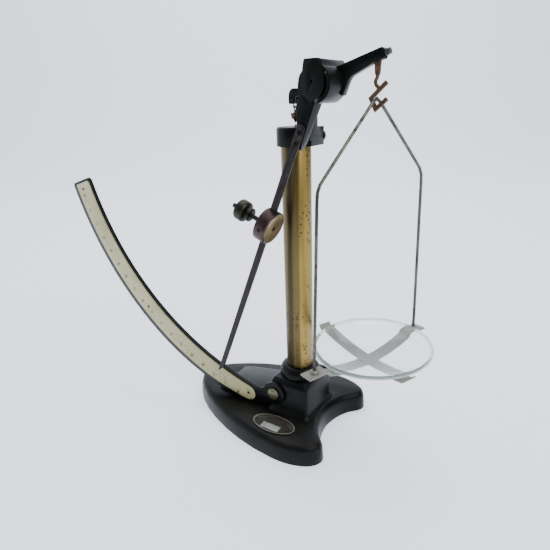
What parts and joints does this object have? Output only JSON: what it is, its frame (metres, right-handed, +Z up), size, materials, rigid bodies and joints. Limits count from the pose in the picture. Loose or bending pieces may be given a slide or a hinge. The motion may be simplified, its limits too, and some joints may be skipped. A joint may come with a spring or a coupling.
{
  "type": "quadrant balance",
  "caption": "Pendulum balance on a brass column: a hinged bell-crank beam with counterweight and pointer reads on a curved scale, and a wire bail carries a glass dish.",
  "frame": {"origin": "on the ground plane under the axis of the column, on the base's flat underside", "axes": "+Z up along the column; +X towards the hanging dish; -X towards the curved scale; -Y the front, where the scale is read"},
  "size_m": [0.5022, 0.1777, 0.422],
  "materials": {
    "black_enamel": "glossy black stove enamel, chipped at the edges",
    "column_brass": "aged, drawn tube with dark specks",
    "aged_brass": "darkened, reddish brown",
    "steel": "dull, lightly tarnished",
    "black_steel": "blackened",
    "brown_steel": "browned, rusty",
    "cream_enamel": "cream enamel with faint divisions",
    "clear_glass": "clear, greenish at the rim"
  },
  "bodies": {
    "stand": {"base_casting": "black_enamel", "name_plate": "aged_brass", "name_plate_pin_left": "column_brass", "name_plate_pin_right": "column_brass", "column_tube": "column_brass", "head_casting": "black_enamel", "head_lock_screw": "black_steel", "front_bearing": "steel", "rear_bearing": "steel", "index_pin": "column_brass", "scale_bar": "black_enamel", "scale_plate": "cream_enamel", "scale_plate_pin_1": "black_steel", "scale_plate_pin_2": "black_steel", "scale_plate_pin_3": "black_steel", "scale_clamp_screw": "aged_brass", "plumb_pin": "steel"},
    "plumb_loop": {"plumb_link": "steel"},
    "plumb_weight": {"plumb_bob": "brown_steel"},
    "beam": {"beam_casting": "black_enamel", "knife_edge": "steel", "load_knife": "steel", "pointer": "black_steel", "pointer_rivet_1": "steel", "pointer_rivet_2": "steel", "counterweight": "aged_brass", "counterweight_grub_screw": "black_steel", "balance_stud": "black_steel", "balance_lock_nut": "aged_brass", "arm_end_collar": "steel", "arm_end_nut": "steel"},
    "adjuster": {"balance_nut": "aged_brass"},
    "hanger": {"pan_hook": "brown_steel"},
    "bail": {"bail_wire": "steel", "cradle_strip_long": "steel", "cradle_strip_short": "steel", "bail_foot_front": "steel", "bail_foot_back": "steel"},
    "dish": {"glass_dish": "clear_glass"}
  },
  "joints": [
    {"name": "beam_swing", "type": "hinge", "parent": "stand", "child": "beam", "pos_m": [0.0425, -0.016, 0.395], "axis": [0, 1, 0], "range_deg": [-7, 51]},
    {"name": "hanger_swing", "type": "hinge", "parent": "beam", "child": "hanger", "pos_m": [0.0913, -0.011, 0.4145], "axis": [0, 1, 0], "range_deg": [-52, 9]},
    {"name": "bail_swing", "type": "hinge", "parent": "hanger", "child": "bail", "pos_m": [0.0913, -0.011, 0.3794], "axis": [0.9367, -0.3502, 0], "range_deg": [-1, 3]},
    {"name": "dish_lift", "type": "slide", "parent": "bail", "child": "dish", "axis": [0, 0, 1], "range_m": [0, 0.03]},
    {"name": "balance_nut_travel", "type": "slide", "parent": "beam", "child": "adjuster", "axis": [-0.9219, 0, 0.3875], "range_m": [0, 0.004]},
    {"name": "plumb_loop_swing", "type": "hinge", "parent": "stand", "child": "plumb_loop", "pos_m": [0, 0, 0.3833], "axis": [0, 1, 0], "range_deg": [-15, 15]},
    {"name": "plumb_weight_swing", "type": "hinge", "parent": "plumb_loop", "child": "plumb_weight", "pos_m": [0, 0, 0.3757], "axis": [1, 0, 0], "range_deg": [-15, 15]}
  ],
  "couplings": [
    {"joint": "hanger_swing", "follows": "beam_swing", "ratio": -1}
  ]
}
